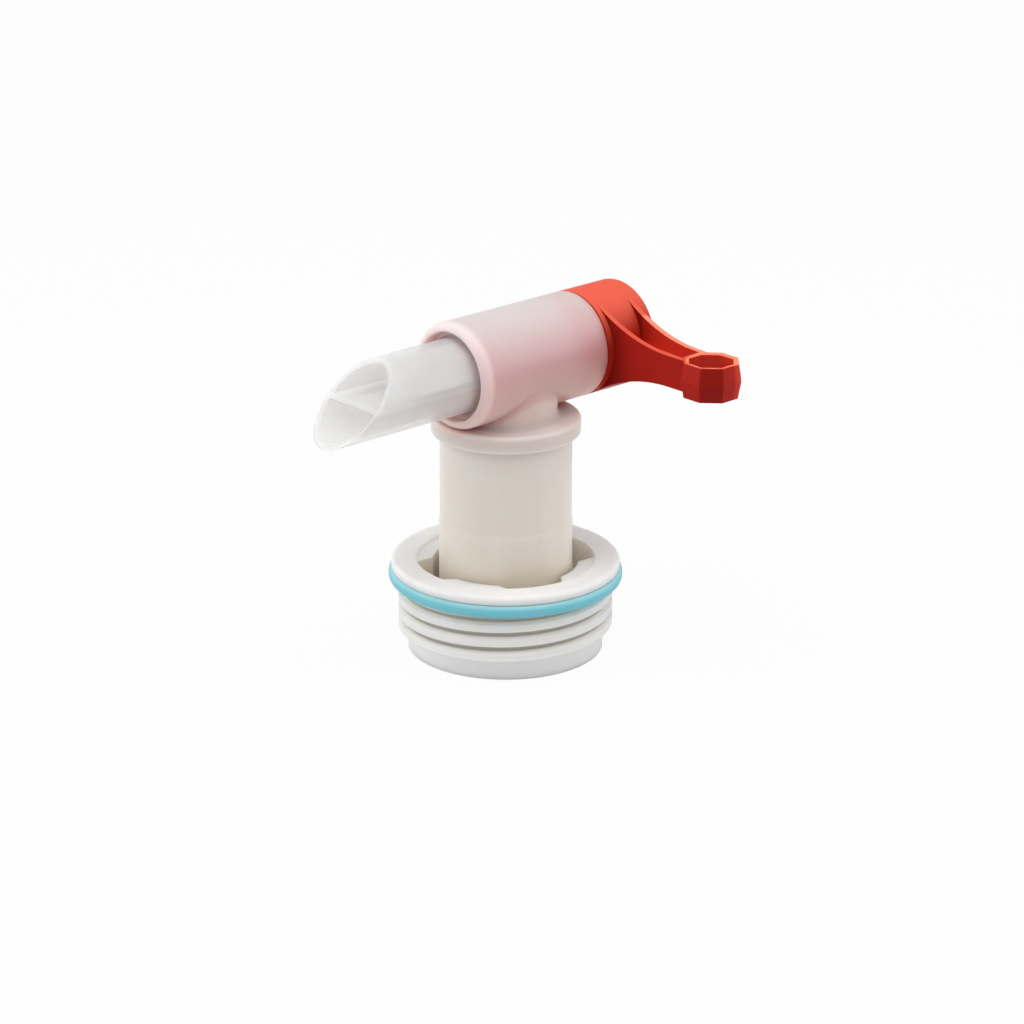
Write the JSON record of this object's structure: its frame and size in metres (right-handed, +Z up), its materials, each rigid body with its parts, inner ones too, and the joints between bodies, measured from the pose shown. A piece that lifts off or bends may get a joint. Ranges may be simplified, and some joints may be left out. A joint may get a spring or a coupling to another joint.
{
  "type": "drum drain tap",
  "caption": "Self-venting drum drain tap: screw plug with gasket, swivelling inlet tube, cross barrel with slanted spout, and a quarter-turn rotor with an eyed lever.",
  "frame": {"origin": "centre of the screw plug's foot, on the axis of the plug and the inlet tube", "axes": "+Z up along the plug's axis, away from the drum; X along the valve axis, with the spout towards -X and the cap and lever at +X; the lever points to -Y at rest, shut"},
  "size_m": [0.1009, 0.0825, 0.0913],
  "materials": {
    "plug_plastic": "natural white moulded polyethylene",
    "gasket_rubber": "smooth blue",
    "body_plastic": "natural, translucent moulded polyethylene",
    "seal_rubber": "natural white silicone",
    "lever_plastic": "red moulded plastic, satin"
  },
  "bodies": {
    "plug": {"screw_plug": "plug_plastic", "plug_gasket": "gasket_rubber"},
    "tap": {"tap_body": "body_plastic", "air_tube": "body_plastic", "tube_seal": "seal_rubber", "retaining_ring": "plug_plastic"},
    "rotor": {"lever_rotor": "lever_plastic", "port_seal": "seal_rubber", "front_rotor_seal": "seal_rubber", "rear_rotor_seal": "seal_rubber"}
  },
  "joints": [
    {"name": "body_swivel", "type": "hinge", "parent": "plug", "child": "tap", "pos_m": [0, 0, 0.014], "axis": [0, 0, 1], "continuous": true},
    {"name": "lever_turn", "type": "hinge", "parent": "tap", "child": "rotor", "pos_m": [0, 0, 0.0774], "axis": [-1, 0, 0], "range_deg": [0, 90]}
  ]
}
